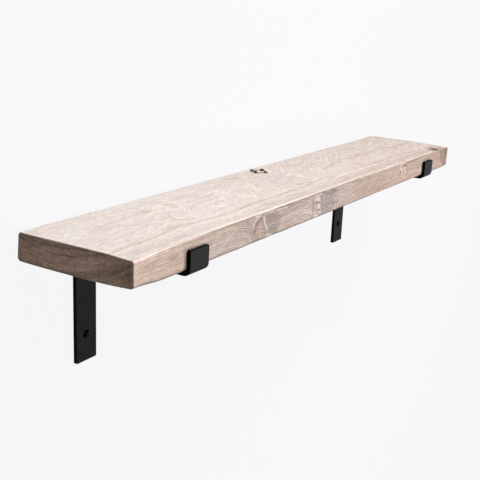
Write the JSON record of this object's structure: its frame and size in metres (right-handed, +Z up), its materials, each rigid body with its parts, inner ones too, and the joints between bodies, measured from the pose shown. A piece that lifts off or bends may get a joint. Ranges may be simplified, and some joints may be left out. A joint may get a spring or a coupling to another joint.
{
  "type": "bracket wall shelf",
  "caption": "Thick worn wooden plank carried by bent flat-bar brackets, each with a leg screwed to the wall, an arm under the plank and a lip that holds its front edge.",
  "frame": {"origin": "on the wall's face, midway between the two brackets and level with the tops of their arms", "axes": "+X along the plank to the right as seen from the room, +Y into the wall, +Z up; the shelf faces -Y"},
  "size_m": [1.046, 0.235, 0.2106],
  "materials": {
    "plank": "worn, brushed reclaimed softwood with a thin matte oil",
    "powder_coat": "matte black powder coat on steel",
    "black_screw": "glossy black coated steel",
    "nylon": "plain moulded nylon"
  },
  "bodies": {
    "root": {"shelf_board": "plank", "left_bracket": "powder_coat", "right_bracket": "powder_coat", "left_wall_screw_upper": "black_screw", "left_wall_screw_lower": "black_screw", "right_wall_screw_upper": "black_screw", "right_wall_screw_lower": "black_screw", "left_board_screw_back": "black_screw", "left_board_screw_front": "black_screw", "right_board_screw_back": "black_screw", "right_board_screw_front": "black_screw", "left_wall_plug_upper": "nylon", "left_wall_plug_lower": "nylon", "right_wall_plug_upper": "nylon", "right_wall_plug_lower": "nylon"}
  },
  "joints": []
}
